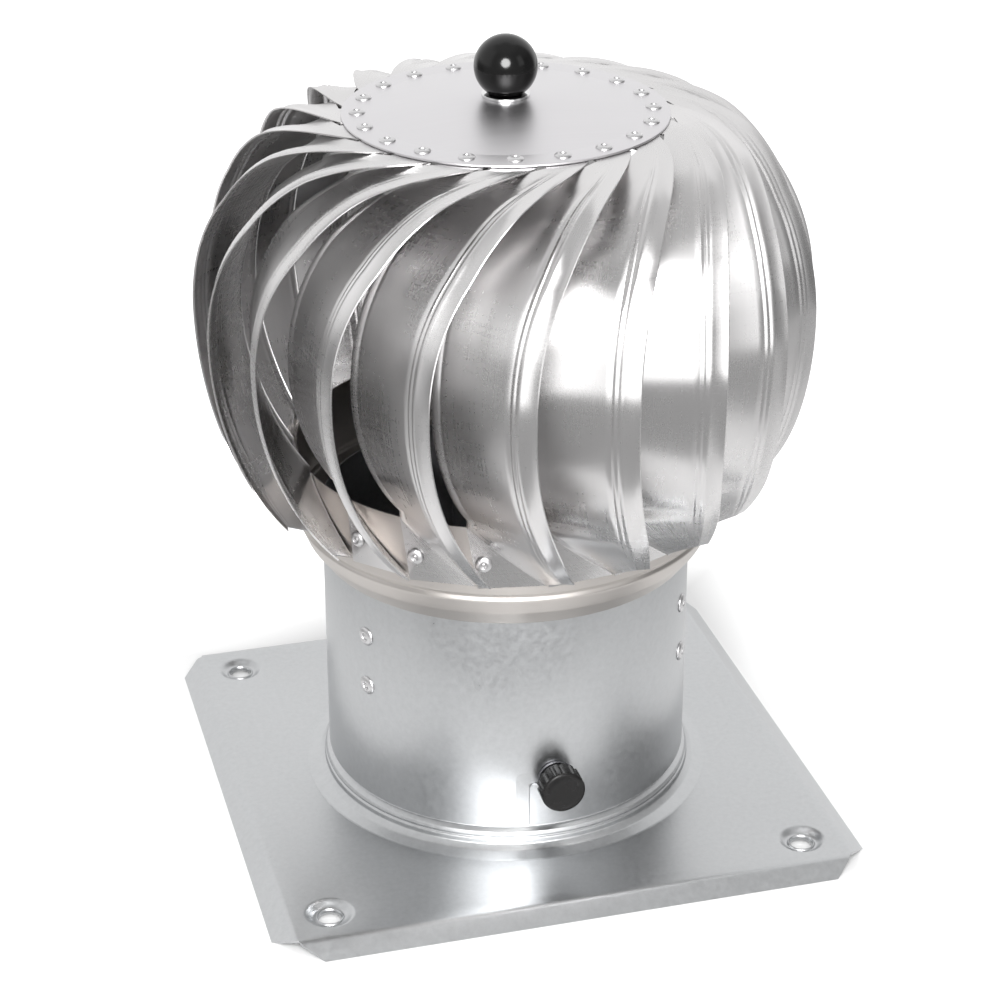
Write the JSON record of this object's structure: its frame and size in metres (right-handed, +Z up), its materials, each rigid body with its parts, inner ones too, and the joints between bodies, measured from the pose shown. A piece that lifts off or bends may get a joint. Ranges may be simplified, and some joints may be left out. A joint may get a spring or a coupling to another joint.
{
  "type": "roof turbine ventilator",
  "caption": "Wind-driven roof ventilator: a globe of curved metal blades spins on a clamped sleeve over a round neck on a square, screw-down plate.",
  "frame": {"origin": "centre of the roof plate, on the roof", "axes": "+Z up the axis of the turning head, -Y towards the clamp knob"},
  "size_m": [0.25, 0.25, 0.3279],
  "materials": {
    "galvanised_sheet": "satin zinc coating with faint clouding",
    "stainless_sheet": "bright rolled stainless steel",
    "rivet_metal": "bright aluminium",
    "zinc_fastener": "zinc-plated",
    "painted_bar": "plain plated steel",
    "turned_steel": "turned and ground",
    "gloss_black": "polished black",
    "satin_black": "satin black"
  },
  "bodies": {
    "base": {"base_plate": "galvanised_sheet", "neck_collar": "galvanised_sheet", "clamp_nut": "zinc_fastener"},
    "turning_sleeve": {"sleeve": "galvanised_sheet", "arm_rivets": "rivet_metal", "bearing_arm_1": "painted_bar", "bearing_arm_2": "painted_bar", "bearing_arm_3": "painted_bar", "bearing_housing": "painted_bar", "bearing_outer_rings": "turned_steel", "housing_clips": "turned_steel"},
    "head": {"blade_01": "stainless_sheet", "blade_02": "stainless_sheet", "blade_03": "stainless_sheet", "blade_04": "stainless_sheet", "blade_05": "stainless_sheet", "blade_06": "stainless_sheet", "blade_07": "stainless_sheet", "blade_08": "stainless_sheet", "blade_09": "stainless_sheet", "blade_10": "stainless_sheet", "blade_11": "stainless_sheet", "blade_12": "stainless_sheet", "blade_13": "stainless_sheet", "blade_14": "stainless_sheet", "blade_15": "stainless_sheet", "blade_16": "stainless_sheet", "blade_17": "stainless_sheet", "blade_18": "stainless_sheet", "blade_19": "stainless_sheet", "blade_20": "stainless_sheet", "rotor_ring": "stainless_sheet", "ring_rivets": "rivet_metal", "top_disc": "stainless_sheet", "disc_rivets": "rivet_metal", "shaft": "turned_steel", "shaft_nut": "zinc_fastener", "bearing_inner_rings": "turned_steel", "disc_nut": "zinc_fastener", "top_nut": "zinc_fastener", "top_washer": "zinc_fastener", "ball_knob": "gloss_black"},
    "washer": {"clamp_washer": "zinc_fastener"},
    "knob": {"clamp_knob": "satin_black", "clamp_screw": "zinc_fastener"}
  },
  "joints": [
    {"name": "sleeve_turn", "type": "hinge", "parent": "base", "child": "turning_sleeve", "pos_m": [0, 0, 0.038], "axis": [0, 0, 1], "range_deg": [0, 10]},
    {"name": "head_spin", "type": "hinge", "parent": "turning_sleeve", "child": "head", "pos_m": [0, 0, 0.2], "axis": [0, 0, 1], "continuous": true},
    {"name": "clamp_travel", "type": "slide", "parent": "base", "child": "washer", "axis": [0, -1, 0], "range_m": [0, 0.0017]},
    {"name": "knob_turn", "type": "hinge", "parent": "washer", "child": "knob", "pos_m": [0, -0.084, 0.038], "axis": [0, -1, 0], "range_deg": [0, 720]}
  ],
  "couplings": [
    {"joint": "clamp_travel", "follows": "knob_turn", "m_per_rad": 0.00012732}
  ]
}
